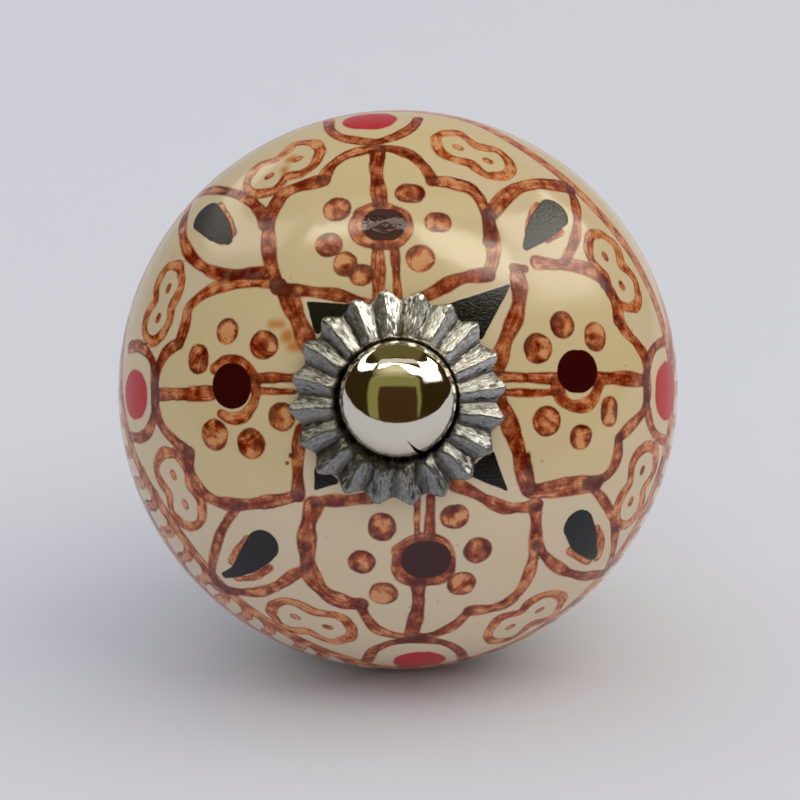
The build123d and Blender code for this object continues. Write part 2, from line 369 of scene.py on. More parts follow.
# Figure-of-eight beads: centre, half length, half width, turn in degrees
beads = [
    (5.25, 16.75, 2.85, 1.0, -24), (-8.0, 15.8, 2.9, 1.1, 31),
    (-16.4, 6.35, 2.75, 0.95, 71), (-15.25, -6.65, 2.8, 1.22, -68),
    (-6.05, -15.95, 2.95, 1.15, -17), (8.95, -15.85, 2.95, 1.05, 30),
    (16.75, -6.5, 2.95, 0.95, 70), (15.05, 8.6, 2.9, 1.1, -60),
]
beadLook = {
    "points": 25, "line": 0.55, "plump": 1.12, "waist": 0.4, "waistLong": 0.33, "wobble": 0.06, "load": 0.42,
    "seedAt": 0.4, "seedLong": 0.14, "seedWide": 0.27, "seedLoad": 0.55,
}

# Corded band round the rim: angle in degrees, and the line's distance in front of the equator;
# at the upper right the cord itself stays further back than its line
rimBand = {
    "line": [(0, 3.4), (30, 4.1), (45, 4.4), (62, 3.7), (80, 1.6), (110, 1.0), (135, 1.2), (165, 1.7), (190, 3.7),
             (203, 5.2), (215, 5.8), (230, 5.5), (245, 5.0), (258, 4.0), (270, 2.5), (292, 2.6), (315, 3.2),
             (340, 3.5)],
    "cord": [(0, 3.3), (12, 2.3), (30, 0.8), (50, 0.7), (80, 0.8)],
    "cordEnd": 100, "cordLine": (4, 105),  # where the cord follows the line again; where it has a line of its own
    "step": 1.5, "width": 3.1, "lineWidth": 1.15, "lineLoad": 0.35, "backLoad": 0.5,
    "links": 58, "linkWidth": 0.95, "linkPoints": 9, "linkLoad": 0.4, "lean": 4.0, "belly": 1.1, "jitter": 0.7,
}

# Ochre stains beside the strokes
stains = [
    (-8.3, 5.0, 0.6, 0.3), (-7.6, 4.2, 0.5, 0.5), (-7.1, 3.5, 0.5, 0.35),
    (-7.5, 16.4, 0.45, 0.4), (-7.9, 15.5, 0.25, 0.5),
]

brushLook = {
    "step": 0.2, "halfShare": 0.73, "swell": 0.13, "beat": (1.2, 2.4),  # a stroke's half width, and how it swells
    "lineLoad": (0.75, 1.15), "dotLoad": (0.7, 1.0), "poolLoad": 1.0, "shadeLoad": 0.5,  # pigment left behind
    "dotGrowth": 1.08, "loadEdge": 0.16,
    "starStrokes": 9, "starTip": 0.1, "starFoot": 0.25,
    "reach": 1.5,  # distance beyond which a layer isn't worked out
}
brush = random.Random(11)  # hand wobble, the same on every run


def onDome(x, z):  # a point of the plan view, raised onto the front dome
    rise = sqrt(max(1 - (x * x + z * z) / ceramic["half"] ** 2, 0.0))
    return (x, -(ceramic["equator"] + ceramic["frontRise"] * rise), z)


def onRim(angle, ahead):  # a point near the equator, by its angle and distance in front of it
    rise = ceramic["frontRise"] if ahead > 0 else ceramic["backRise"]
    out = ceramic["half"] * sqrt(1 - (ahead / rise) ** 2)
    return (out * cos(radians(angle)), -(ceramic["equator"] + ahead), out * sin(radians(angle)))


def smoothRun(points, step=brushLook["step"]):  # a flowing curve through the points
    p = np.array(points, float)
    p = np.vstack([2 * p[0] - p[1], p, 2 * p[-1] - p[-2]])
    run = []
    for a, b, c, d in zip(p, p[1:], p[2:], p[3:]):
        count = max(2, ceil(np.linalg.norm(c - b) / step))
        for t in np.linspace(0, 1, count, endpoint=False):
            run.append(b + 0.5 * t * (c - a + t * (2 * a - 5 * b + 4 * c - d + t * (3 * (b - c) + d - a))))
    return np.array([*run, p[-2]])


paints = ("brown", "dab", "maroon", "black", "red", "stain")  # each as the distance to its edge
layers = {name: np.full(len(places), brushLook["reach"]) for name in paints}
layers["load"] = np.zeros(len(places))  # how much brown lies there, from all strokes
layers["cream"] = np.zeros(len(places))  # how creamy the ground is


def layStroke(layer, points, halfWidths, load=None):
    points, halfWidths = np.array(points, float), np.array(halfWidths, float)
    reach = brushLook["reach"] + halfWidths.max()
    low, high = points.min(0) - reach, points.max(0) + reach
    near = np.flatnonzero(np.all((places > low) & (places < high), axis=1))
    spots, gap = places[near], np.full(len(near), brushLook["reach"])
    for a, b, wideA, wideB in zip(points, points[1:], halfWidths, halfWidths[1:]):
        span = b - a
        t = np.clip((spots - a) @ span / max(span @ span, 1e-9), 0, 1)
        away = np.linalg.norm(spots - a - t[:, None] * span, axis=1)
        gap = np.minimum(gap, away - wideA - t * (wideB - wideA))
    layers[layer][near] = np.minimum(layers[layer][near], gap)
    if load:
        layers["load"][near] += load * np.clip(0.5 - gap / brushLook["loadEdge"], 0, 1)


def layLine(line, load=None):  # one pull of the brush, a little uneven
    width, *points = line
    run = smoothRun(points)
    phase, beat = brush.uniform(0, tau), brush.uniform(*brushLook["beat"])
    swell = 1 + brushLook["swell"] * np.sin(phase + np.arange(len(run)) * brushLook["step"] * beat)
    load = load or brush.uniform(*brushLook["lineLoad"])
    layStroke("brown", [onDome(x, z) for x, z in run], brushLook["halfShare"] * width * swell, load)


def layDot(layer, x, z, wide, tall, load=None):  # an oval dab, as a short fat stroke
    small = min(wide, tall)
    ends = [(x + k * (wide - small), z + k * (tall - small)) for k in (-1, 1)]
    layStroke(layer, [onDome(*end) for end in ends], [small, small], load)


for petal in petals:
    for line in petal["outline"] + petal["veins"] + petal["rings"] + [petal["berryRing"]]:
        layLine(line)
    for x, z, wide, tall in petal["dots"]:
        grown = [brushLook["dotGrowth"] * wide, brushLook["dotGrowth"] * tall]
        layDot("dab", x, z, *grown, load=brush.uniform(*brushLook["dotLoad"]))
    for pool in petal["pools"]:
        layDot("dab", *pool, load=brushLook["poolLoad"])
    layDot("maroon", *petal["eye"])
    layDot("red", *petal["berry"])
    corners = [point for line in petal["outline"] for point in line[1:]]
    inside = np.zeros(len(places), bool)
    for (ax, az), (bx, bz) in zip(corners, corners[1:] + corners[:1]):  # sides crossed on the way out, odd inside
        crosses = (places[:, 2] > az) != (places[:, 2] > bz)
        inside ^= crosses & (places[:, 0] < ax + (places[:, 2] - az) * (bx - ax) / (bz - az or 1))
    layers["cream"][inside & (vertH > ceramic["equator"])] = petal["cream"]

for leaf in leaves:
    for line in leaf["outline"]:
        layLine(line)
    for line in leaf["shade"]:
        layLine(line, load=brushLook["shadeLoad"])
    run = smoothRun(leaf["drop"])
    layStroke("black", [onDome(x, z) for x, z, wide in run], run[:, 2])
    tip, *feet = leaf["star"]
    for share in np.linspace(0, 1, brushLook["starStrokes"]):  # narrow strokes from the tip fill the star's point
        foot = [feet[0][k] + share * (feet[1][k] - feet[0][k]) for k in (0, 1)]
        run = smoothRun([tip, foot])
        widths = np.linspace(brushLook["starTip"], brushLook["starFoot"], len(run))
        layStroke("black", [onDome(x, z) for x, z in run], widths)

for x, z, long, wide, lean in beads:
    c, s = cos(radians(lean)), sin(radians(lean))
    wobble, seed = beadLook["wobble"], beadLook["seedLong"]
    ring = []
    for t in np.linspace(0, tau, beadLook["points"]):
        u = long * cos(t)
        pinch = beadLook["waist"] * np.exp(-(u / (beadLook["waistLong"] * long)) ** 2)
        v = beadLook["plump"] * wide * sin(t) * (1 - pinch)
        u, v = u + brush.uniform(-wobble, wobble), v + brush.uniform(-wobble, wobble)
        ring.append((x + u * c - v * s, z + u * s + v * c))
    ring[-1] = ring[0]
    layLine([beadLook["line"], *ring], load=beadLook["load"])
    for u in (-beadLook["seedAt"] * long, beadLook["seedAt"] * long):
        ends = [(x + (u + k * seed) * c, z + (u + k * seed) * s) for k in (-1, 1)]
        layStroke("brown", [onDome(*end) for end in ends], [beadLook["seedWide"]] * 2, beadLook["seedLoad"])


def aroundRim(stops):  # a flowing run once round the rim
    (lastAngle, lastAhead), (firstAngle, firstAhead), (nextAngle, nextAhead) = stops[-1], stops[0], stops[1]
    closing = [(firstAngle + 360, firstAhead), (nextAngle + 360, nextAhead)]
    return smoothRun([(lastAngle - 360, lastAhead), *stops, *closing], rimBand["step"])


lineRun = aroundRim(rimBand["line"])
cordRun = aroundRim(rimBand["cord"] + [stop for stop in rimBand["line"] if stop[0] > rimBand["cordEnd"]])
cordFrom, cordTo = rimBand["cordLine"]
rimLines = [
    (rimBand["lineLoad"], [onRim(a, d) for a, d in lineRun]),
    (rimBand["lineLoad"], [onRim(a, d) for a, d in cordRun if cordFrom < a < cordTo]),
    (rimBand["backLoad"], [onRim(a, d - rimBand["width"]) for a, d in cordRun]),
]
for load, line in rimLines:
    layStroke("brown", line, np.full(len(line), rimBand["lineWidth"] / 2), load)
for k in range(rimBand["links"]):
    angle = k * 360 / rimBand["links"] + brush.uniform(-rimBand["jitter"], rimBand["jitter"])
    ahead = np.interp(angle, cordRun[:, 0], cordRun[:, 1])
    link = []
    for t in np.linspace(0, 1, rimBand["linkPoints"]):
        sway = rimBand["lean"] * (t - 0.5) + rimBand["belly"] * sin(tau * t)
        link.append(onRim(angle + sway, ahead - t * rimBand["width"]))
    layStroke("brown", link, np.full(len(link), rimBand["linkWidth"] / 2), rimBand["linkLoad"])

for stain in stains:
    layDot("stain", *stain)
for name, values in layers.items():
    body.data.attributes.new(name=name, type="FLOAT", domain="POINT").data.foreach_set("value", values)
print("painted layers:", ", ".join(layers))

# Glazed earthenware: ivory ground, watery brush colours under a clear glaze that
# gives sharp but slightly wavy highlights and a few pinholes
glazeLook = {
    # the second ivory is painted warm light from above, mixed in towards the top
    "ivory": "#DFCDB0", "ivoryTopLit": "#D9C391", "cream": "#DBC48C", "pinhole": "#7B6A4C",
    "maroon": "#380606", "black": "#060708", "red": "#BE1A20", "stain": "#C47A2A",
    "browns": [(0.0, "#DC9862"), (0.15, "#CC7A45"), (0.28, "#B65C2C"), (0.42, "#9A3E11"), (0.58, "#7E2504"),
               (0.8, "#5E1200")],  # depth of the wash, and its colour
    "edges": {"brown": 0.08, "dab": 0.08, "maroon": 0.05, "black": 0.05, "red": 0.1, "stain": 0.35},  # softness, mm
    "thickSway": 0.5,  # maroon and black are thick, with a cleaner edge
    # four numbers are a measure from and to, and what these give
    "loadShare": 0.38, "driedRim": (-0.22, 0.0, 0.0, 0.28), "dabRing": (-0.5, 0.0, -0.2, 0.2),
    "hairs": 8.0, "hairLong": 0.45,  # brush hairs across a stroke, and how far they run on along it
    "hairTone": (0.25, 0.75, -0.24, 0.24),
    # the last entry below gives the heights in mm over which the ivory is painted yellower, as warm light from above
    "stainCover": 0.95, "paintedTopLight": (-16.0, 26.0, 0.0, 1.0),
    "pitSpacing": 1.1, "pitSize": (0.55, 1.0, 0.0, 0.11), "pitEdge": (0.03, -0.03, 0.0, 0.5),
    "satin": 0.13, "enamel": 0.06,  # roughness of the ground glaze and of the thick colours
    "curlDepth": 1.1, "eyeDepth": 0.8, "relief": 0.05, "reliefShare": 0.5, "ior": 1.48,
}
glazeNoise = {  # size in mm, and the noise's own settings
    "edge": (0.9, {"Detail": 3.0}),  # uneven edge of a stroke
    "grain": (0.12, {"Detail": 2.0}),  # pigment grain
    "cloud": (0.9, {"Detail": 2.5, "Roughness": 0.55}),  # cloudy wash
    "dab": (1.2, {"Detail": 1.0}),  # dark side of a dot
    "ground": (6.0, {"Detail": 3.0}),  # patches in the ivory
    "ripple": (2.2, {"Detail": 2.0}),  # waves of the glaze
    "curl": (0.12, {"Detail": 2.0, "Distortion": 0.5}),  # curls on the black
}
glazeTones = {  # a noise, its lowest and highest value in use, and what they give
    "edgeWave": ("edge", 0.25, 0.75, -0.07, 0.07), "edgeGrain": ("grain", 0.25, 0.75, -0.025, 0.025),
    "cloud": ("cloud", 0.2, 0.8, -0.42, 0.46), "grain": ("grain", 0.25, 0.75, -0.13, 0.13),
    "dabSide": ("dab", 0.35, 0.65, -0.3, 0.4), "wash": ("cloud", 0.3, 0.6, 0.88, 1.0),
    "ground": ("ground", 0.3, 0.7, -0.15, 0.15),
}
glaze, tree = newMaterial("glazedEarthenware")
inMm = placeInMm(tree)
noise, tone, painted = {}, {}, {}
for name, (size, settings) in glazeNoise.items():
    noise[name] = addNode(tree, "TexNoise", {"Vector": inMm, "Scale": 1 / size, **settings})
for name, (source, *span) in glazeTones.items():
    tone[name] = addNode(tree, "MapRange", [noise[source], *span])
for name in layers:
    painted[name] = addNode(tree, "Attribute", attribute_name=name, out="Fac")

edgeShift = addNode(tree, "Math", [tone["edgeWave"], tone["edgeGrain"]], operation="ADD")
gaps, covers = {}, {}
for name, soft in glazeLook["edges"].items():
    sway = glazeLook["thickSway"] if name in ("maroon", "black") else 1.0
    gaps[name] = addNode(tree, "Math", [edgeShift, sway, painted[name]], operation="MULTIPLY_ADD")
    covers[name] = addNode(tree, "MapRange", [gaps[name], soft, -soft, 0.0, 1.0], interpolation_type="SMOOTHSTEP")
brownGap = addNode(tree, "Math", [gaps["brown"], gaps["dab"]], operation="MINIMUM")
brownCover = addNode(tree, "Math", [covers["brown"], covers["dab"]], operation="MAXIMUM")
brownCover = addNode(tree, "Math", [brownCover, tone["wash"]], operation="MULTIPLY")

# Hairs of the brush: noise drawn out along a stroke
across = addNode(tree, "Math", [gaps["brown"], glazeLook["hairs"]], operation="MULTIPLY")
across = addNode(tree, "CombineXYZ", [across])
combed = addNode(tree, "VectorMath", [inMm, (glazeLook["hairLong"],) * 3, across], operation="MULTIPLY_ADD")
hairs = addNode(tree, "TexNoise", {"Vector": combed, "Scale": 1.0, "Detail": 2.0})
hairs = addNode(tree, "MapRange", [hairs, *glazeLook["hairTone"]])

# Depth of brown: more where strokes cross, at the dried rim of a stroke and in cloudy patches
dabRing = addNode(tree, "MapRange", [gaps["dab"], *glazeLook["dabRing"]])
dabSide = addNode(tree, "Math", [tone["dabSide"], dabRing], operation="ADD")
dabSide = addNode(tree, "Math", [dabSide, covers["dab"]], operation="MULTIPLY")
driedRim = addNode(tree, "MapRange", [brownGap, *glazeLook["driedRim"]])
depth = addNode(tree, "Math", [painted["load"], glazeLook["loadShare"], driedRim], operation="MULTIPLY_ADD")
for shift in (tone["cloud"], tone["grain"], hairs, dabSide):
    depth = addNode(tree, "Math", [depth, shift], operation="ADD")
brownRamp = addNode(tree, "ValToRGB", [depth])
stops = brownRamp.node.color_ramp.elements
for place, code in glazeLook["browns"][1:-1]:
    stops.new(place)
for stop, (place, code) in zip(stops, glazeLook["browns"]):
    stop.position, stop.color = place, hexColour(code)

# Pinholes about 0.1 mm wide, one in a few square millimetres
pits = addNode(tree, "TexVoronoi", {"Vector": inMm, "Scale": 1 / glazeLook["pitSpacing"]}, feature="F1").node.outputs
pitSize = addNode(tree, "MapRange", [pits["Color"], *glazeLook["pitSize"]])
pitGap = addNode(tree, "Math", [pits["Distance"], pitSize], operation="SUBTRACT")
pitCover = addNode(tree, "MapRange", [pitGap, *glazeLook["pitEdge"]])

# Painted warm top light: the ivory is painted yellower towards the top, in uneven patches, and the petals have a
# cream ground
heights = addNode(tree, "SeparateXYZ", [inMm], out="Z")
paintedTopLight = addNode(tree, "MapRange", [heights, *glazeLook["paintedTopLight"]])
paintedTopLight = addNode(tree, "Math", [paintedTopLight, tone["ground"]], operation="ADD", use_clamp=True)
stainCover = addNode(tree, "Math", [covers["stain"], glazeLook["stainCover"]], operation="MULTIPLY")
coats = [(paintedTopLight, "ivoryTopLit"), (painted["cream"], "cream"), (pitCover, "pinhole"), (stainCover, "stain"),
         (brownCover, None), (covers["red"], "red"), (covers["maroon"], "maroon"), (covers["black"], "black")]
colour = hexColour(glazeLook["ivory"])
for cover, name in coats:  # each coat covers part of what lies under it
    coat = hexColour(glazeLook[name]) if name else brownRamp
    colour = addNode(tree, "Mix", {0: cover, 6: colour, 7: coat}, data_type="RGBA", out=2)

# Relief: waves of the glaze, curls on the black and dimples on the maroon
relief = noise["ripple"]
for thick, grown, share in (("black", "curl", "curlDepth"), ("maroon", "edge", "eyeDepth")):
    raised = addNode(tree, "Math", [covers[thick], noise[grown]], operation="MULTIPLY")
    relief = addNode(tree, "Math", [raised, glazeLook[share], relief], operation="MULTIPLY_ADD")
bump = addNode(tree, "Bump", {
    "Height": relief, "Strength": glazeLook["reliefShare"], "Distance": glazeLook["relief"] * mm})
enamel = addNode(tree, "Math", [covers["maroon"], covers["black"]], operation="MAXIMUM")
gloss = addNode(tree, "MapRange", [enamel, 0.0, 1.0, glazeLook["satin"], glazeLook["enamel"]])
shader = addNode(tree, "BsdfPrincipled", {
    "Base Color": colour, "Roughness": gloss, "IOR": glazeLook["ior"], "Normal": bump})
addNode(tree, "OutputMaterial", {"Surface": shader})
finishPiece(body, "ceramic_body", glaze)


# Fluted rosette: a pressed washer with twenty pleats

rosette = {
    "flutes": 20, "perFlute": 8, "turn": 6.75, "floor": 29.92, "sheet": 0.46, "hole": 2.2, "hub": 4.05,
    "rings": [(4.13, 29.95, 0.05), (4.44, 30.36, 0.48), (5.6, 29.96, 0.58), (6.3, 29.7, 0.65),
              (6.62, 29.58, 0.7)],  # radius, height of the valleys, rise of the ridges
    "pleat": [1.0, 0.78, 0.52, 0.25, 0.0],  # share of the rise, from ridge to valley
    "edge": [7.54, 7.48, 7.27, 6.98, 6.82], "edgeValley": 29.42, "edgeSpare": 0.4, "crease": 0.65,
    "floorEdge": (4.1, 4.2), "fluteStart": (4.3, 4.6), "creaseFrom": 4.7,  # radii that tell the rings apart
    "offset": 0.18, "close": 0.28,  # start of the flutes: shift to the lower left, lift on the lit side
    "litSide": 65.0, "litSpread": 0.2,  # that side's angle in degrees, and the cosine it spreads to
    "uneven": 0.05, "slip": 0.8, "unevenFrom": 4.4, "stretch": (-0.014, 0.01), "stretchFrom": 6.8,
    "pleatHalf": 0.3,  # share of a pleat on each side of its ridge that moves with it
}
bpy.ops.mesh.primitive_circle_add(
    vertices=rosette["flutes"] * rosette["perFlute"], radius=rosette["hole"] * mm,
    location=(0, -rosette["floor"] * mm, 0), rotation=(pi / 2, 0, 0))
bpy.ops.object.transform_apply(location=True, rotation=True, scale=True)
washer = startPiece("frontRosette")

# The rim is extruded out and up, ring by ring
edgeRadius = rosette["edge"][-1] + rosette["edgeSpare"]
floorRing, edgeRing = (rosette["hub"], rosette["floor"]), (edgeRadius, rosette["edgeValley"])
radius, height = rosette["hole"], rosette["floor"]
for nextRadius, valley in [floorRing, *[ring[:2] for ring in rosette["rings"]], edgeRing]:
    bpy.ops.mesh.extrude_edges_move()
    scaleRound(nextRadius / radius)
    bpy.ops.transform.translate(value=(0, -(valley - height) * mm, 0))
    radius, height = nextRadius, valley
pleatAngle = tau / rosette["flutes"]


def pleatPhase(angle):  # 0 on a ridge, 4 in a valley
    part = (angle / pleatAngle) % 1
    return round(min(part, 1 - part) * rosette["perFlute"])


def onPleat(angle, flute):  # beside the ridge of one flute
    return abs((angle - flute * pleatAngle + pi) % tau - pi) < rosette["pleatHalf"] * pleatAngle


for ringRadius, valley, rise in [*rosette["rings"], (*edgeRing, rosette["rings"][-1][2])]:
    for phase, lift in enumerate(rosette["pleat"][:-1]):
        pick(washer, lambda r, h, a: abs(r - ringRadius) < onRing and pleatPhase(a) == phase)
        bpy.ops.transform.translate(value=(0, -lift * rise * mm, 0))
for phase, edge in enumerate(rosette["edge"]):
    pick(washer, lambda r, h, a: abs(r - edgeRadius) < onRing and pleatPhase(a) == phase)
    scaleRound(edge / edgeRadius)

# The flutes start further from the cap at the lower left, and right beside it at the upper right
near, far = rosette["fluteStart"]
pick(washer, lambda r, h, a: near < r < far)
bpy.ops.transform.translate(value=(-rosette["offset"] * mm, 0, -rosette["offset"] * mm))
near, far = rosette["floorEdge"]
pick(washer, lambda r, h, a: near < r < far and cos(a - radians(rosette["litSide"])) > rosette["litSpread"])
bpy.ops.transform.translate(value=(0, -rosette["close"] * mm, 0))
pick(washer, lambda r, h, a: r > rosette["creaseFrom"] and pleatPhase(a) in (0, 4))  # folds stay crisp
bpy.ops.transform.edge_crease(value=rosette["crease"])

press = random.Random(4)
for flute in range(rosette["flutes"]):  # no two pleats came out quite alike
    pick(washer, lambda r, h, a: r > rosette["unevenFrom"] and onPleat(a, flute))
    bpy.ops.transform.translate(value=(0, press.uniform(-1, 1) * rosette["uneven"] * mm, 0))
    slip = radians(press.uniform(-1, 1) * rosette["slip"])
    bpy.ops.transform.rotate(value=slip, orient_axis="Y", center_override=(0, 0, 0))
    pick(washer, lambda r, h, a: r > rosette["stretchFrom"] and onPleat(a, flute))
    scaleRound(1 + press.uniform(*rosette["stretch"]))
bpy.ops.mesh.select_all(action="SELECT")
bpy.ops.transform.rotate(value=radians(rosette["turn"]), orient_axis="Y", center_override=(0, 0, 0))
bpy.ops.mesh.normals_make_consistent(inside=False)
if sum(face.normal.y for face in bmesh.from_edit_mesh(washer.data).faces) > 0:
    bpy.ops.mesh.flip_normals()
bpy.ops.object.mode_set(mode="OBJECT")
addModifier(washer, "SOLIDIFY", thickness=rosette["sheet"] * mm, offset=-1)
addModifier(washer, "SUBSURF", levels=2, render_levels=2)
bpy.ops.object.shade_smooth()

# Dull zinc plate on pressed sheet: grey, with small bright crystals on the ridges, painted darker as shade on the
# side away from the light, with painted shade in the valleys and a painted shadow round the cap, there mixed with
# some dirt
zincLook = {
    # of the two dark tones, one is painted shade on the side away from the light, the other painted shade in the
    # valleys and round the cap, there with some dirt
    "pale": "#F0F0EC", "dark": "#B0B2B2", "shadeAndGrime": "#3A2E22", "sideShade": "#26221C",
    "crystal": 0.1, "facet": 0.13, "cloud": 0.5,  # sizes in mm
    "stretch": 3.0, "drawnAt": 2.0,  # how far marks are drawn out, and where outside the hub they are true to size
    "crystalTone": (0.35, 0.65, 0.0, 1.0), "gloss": (0.3, 0.7, 0.27, 0.42), "tilt": 0.33,
    "sideShadeCover": (0.25, 1.0, 0.6, 0.0), "capShadowCover": (4.1, 4.6, 0.9, 0.0), "capShadowShift": 0.09,
    "valleyShadeCover": (-1.0, -0.3, 0.65, 0.0), "relief": 0.06, "reliefShare": 0.35,
}
zinc, tree = newMaterial("dullZincPlate")
inMm = placeInMm(tree)
axes = addNode(tree, "SeparateXYZ", [inMm]).node.outputs
bearing = addNode(tree, "Math", [axes["Z"], axes["X"]], operation="ARCTAN2")
flat = addNode(tree, "VectorMath", [inMm, (1, 0, 1)], operation="MULTIPLY")
outward = addNode(tree, "VectorMath", [flat], operation="LENGTH", out="Value")

# Crystals and facets, drawn out along the flutes
around = addNode(tree, "Math", [bearing, rosette["hub"] + zincLook["drawnAt"]], operation="MULTIPLY")
drawnOut = addNode(tree, "Math", [outward, 1 / zincLook["stretch"]], operation="MULTIPLY")
drawn = addNode(tree, "CombineXYZ", [around, drawnOut])
crystal = addNode(tree, "TexNoise", {
    "Vector": drawn, "Scale": 1 / zincLook["crystal"], "Detail": 3.0, "Roughness": 0.6})
facets = addNode(tree, "TexVoronoi", {"Vector": drawn, "Scale": 1 / zincLook["facet"]}, out="Color")
lean = addNode(tree, "VectorMath", [facets, (0.5, 0.5, 0.5)], operation="SUBTRACT")
upright = addNode(tree, "NewGeometry", out="Normal")
leaning = addNode(tree, "VectorMath", [lean, (zincLook["tilt"],) * 3, upright], operation="MULTIPLY_ADD")
leaning = addNode(tree, "VectorMath", [leaning], operation="NORMALIZE")

# Painted shade away from the lit side, a painted shadow round the cap with some dirt, and painted shade in the
# valleys
litWay = (cos(radians(rosette["litSide"])), 0, sin(radians(rosette["litSide"])))
aside = addNode(tree, "VectorMath", [flat, litWay], operation="DOT_PRODUCT", out="Value")
facingLit = addNode(tree, "Math", [aside, outward], operation="DIVIDE")  # 1 on the lit side, -1 opposite
# painted shadow of the cap, wider at the lower left, mixed with some dirt
capShadow = addNode(tree, "Math", [aside, zincLook["capShadowShift"], outward], operation="MULTIPLY_ADD")
turned = -rosette["flutes"] * radians(rosette["turn"])
swing = addNode(tree, "Math", [bearing, rosette["flutes"], turned], operation="MULTIPLY_ADD")
swing = addNode(tree, "Math", [swing], operation="COSINE")  # 1 on a ridge, -1 in a valley
tone = addNode(tree, "MapRange", [crystal, *zincLook["crystalTone"]])
# painted shade: the side away from the light is darkened
sideShade = addNode(tree, "MapRange", [facingLit, *zincLook["sideShadeCover"]])
capShadow = addNode(tree, "MapRange", [capShadow, *zincLook["capShadowCover"]])
# painted shade in the valleys of the flutes
valleyShade = addNode(tree, "MapRange", [swing, *zincLook["valleyShadeCover"]])
shadeAndGrime = addNode(tree, "Math", [capShadow, valleyShade], operation="MAXIMUM")
colour = hexColour(zincLook["dark"])
for cover, name in ((tone, "pale"), (sideShade, "sideShade"), (shadeAndGrime, "shadeAndGrime")):
    coat = hexColour(zincLook[name])
    colour = addNode(tree, "Mix", {0: cover, 6: colour, 7: coat}, data_type="RGBA", out=2)
cloud = addNode(tree, "TexNoise", {"Vector": inMm, "Scale": 1 / zincLook["cloud"], "Detail": 3.0})
gloss = addNode(tree, "MapRange", [cloud, *zincLook["gloss"]])
platedSurface(tree, colour, gloss, {
    "Height": crystal, "Strength": zincLook["reliefShare"], "Distance": zincLook["relief"] * mm, "Normal": leaning})
finishPiece(washer, "front_rosette", zinc)


# Dome cap: thin bright sheet over the bolt's head, split at the rim

cap = {
    "radius": 4.0, "base": 29.925, "shoulder": 30.975, "rise": 2.8, "sheet": 0.3, "lip": 3.15, "rimRound": 0.15,
    "rings": 40, "innerRings": 12, "segments": 128, "smooth": 35,
}


def crownRun(inset, turns):  # the dome's section, drawn in by an inset
    run = [((cap["radius"] - inset) * cos(t), cap["shoulder"] + (cap["rise"] - inset) * sin(t)) for t in turns]
    return [(0, run[0][1]), *run[1:]]


outerDome = crownRun(0, np.linspace(pi / 2, 0, cap["rings"] + 1))
outerRim = [(cap["radius"], cap["base"] + cap["rimRound"]), (cap["radius"] - cap["rimRound"], cap["base"]),
            (cap["lip"], cap["base"])]
innerRim = [(cap["lip"], cap["base"] + cap["sheet"]), (cap["radius"] - cap["sheet"], cap["base"] + cap["sheet"])]
innerDome = crownRun(cap["sheet"], np.linspace(pi / 2, 0, cap["innerRings"] + 1))
dome = drawProfile("domeCap", [*outerDome, *outerRim, *innerRim, *reversed(innerDome)])
turnProfile(cap["segments"])
bpy.ops.object.mode_set(mode="OBJECT")

# The split: a thin wedge, wide at the rim and leaning as it runs up, is cut out
split = {
    "angle": -60.0, "wide": 0.85, "tall": 3.2, "lean": 0.85, "tip": 0.06, "tipFrom": 1.0,
    "deep": 3.0, "at": 4.2, "below": 0.05,
}
bpy.ops.mesh.primitive_cube_add(size=1)
wedge = startPiece("splitWedge")
size = [split[side] * mm for side in ("wide", "tall", "deep")]
bpy.ops.transform.resize(value=size, center_override=(0, 0, 0))
middle = cap["base"] + split["tall"] / 2 - split["below"]
bpy.ops.transform.translate(value=(0, -middle * mm, split["at"] * mm))
pick(wedge, lambda r, h, a: h > cap["base"] + split["tipFrom"])
bpy.ops.transform.resize(value=(split["tip"], 1, 1), center_override=(0, 0, 0))
bpy.ops.transform.translate(value=(split["lean"] * mm, 0, 0))
bpy.ops.object.mode_set(mode="OBJECT")
wedge.rotation_euler = (0, radians(90 - split["angle"]), 0)
bpy.ops.object.transform_apply(rotation=True)
activate(dome)
addModifier(dome, "BOOLEAN", object=wedge, operation="DIFFERENCE", solver="EXACT")
bpy.data.objects.remove(wedge)
bpy.ops.object.shade_smooth_by_angle(angle=radians(cap["smooth"]))

# Bright nickel plate: a clear, warm mirror with a very slight wave from the press
nickelLook = {"tone": "#DCD6C8", "wave": 1.6, "gloss": (0.3, 0.7, 0.04, 0.09), "relief": 0.05, "reliefShare": 0.3}
nickel, tree = newMaterial("brightNickelPlate")
inMm = placeInMm(tree)
wave = addNode(tree, "TexNoise", {"Vector": inMm, "Scale": 1 / nickelLook["wave"], "Detail": 3.0})
gloss = addNode(tree, "MapRange", [wave, *nickelLook["gloss"]])
platedSurface(tree, hexColour(nickelLook["tone"]), gloss, {
    "Height": wave, "Strength": nickelLook["reliefShare"], "Distance": nickelLook["relief"] * mm})
finishPiece(dome, "dome_cap", nickel)


# Through bolt: head in the cap, plain shank, rolled M4 thread

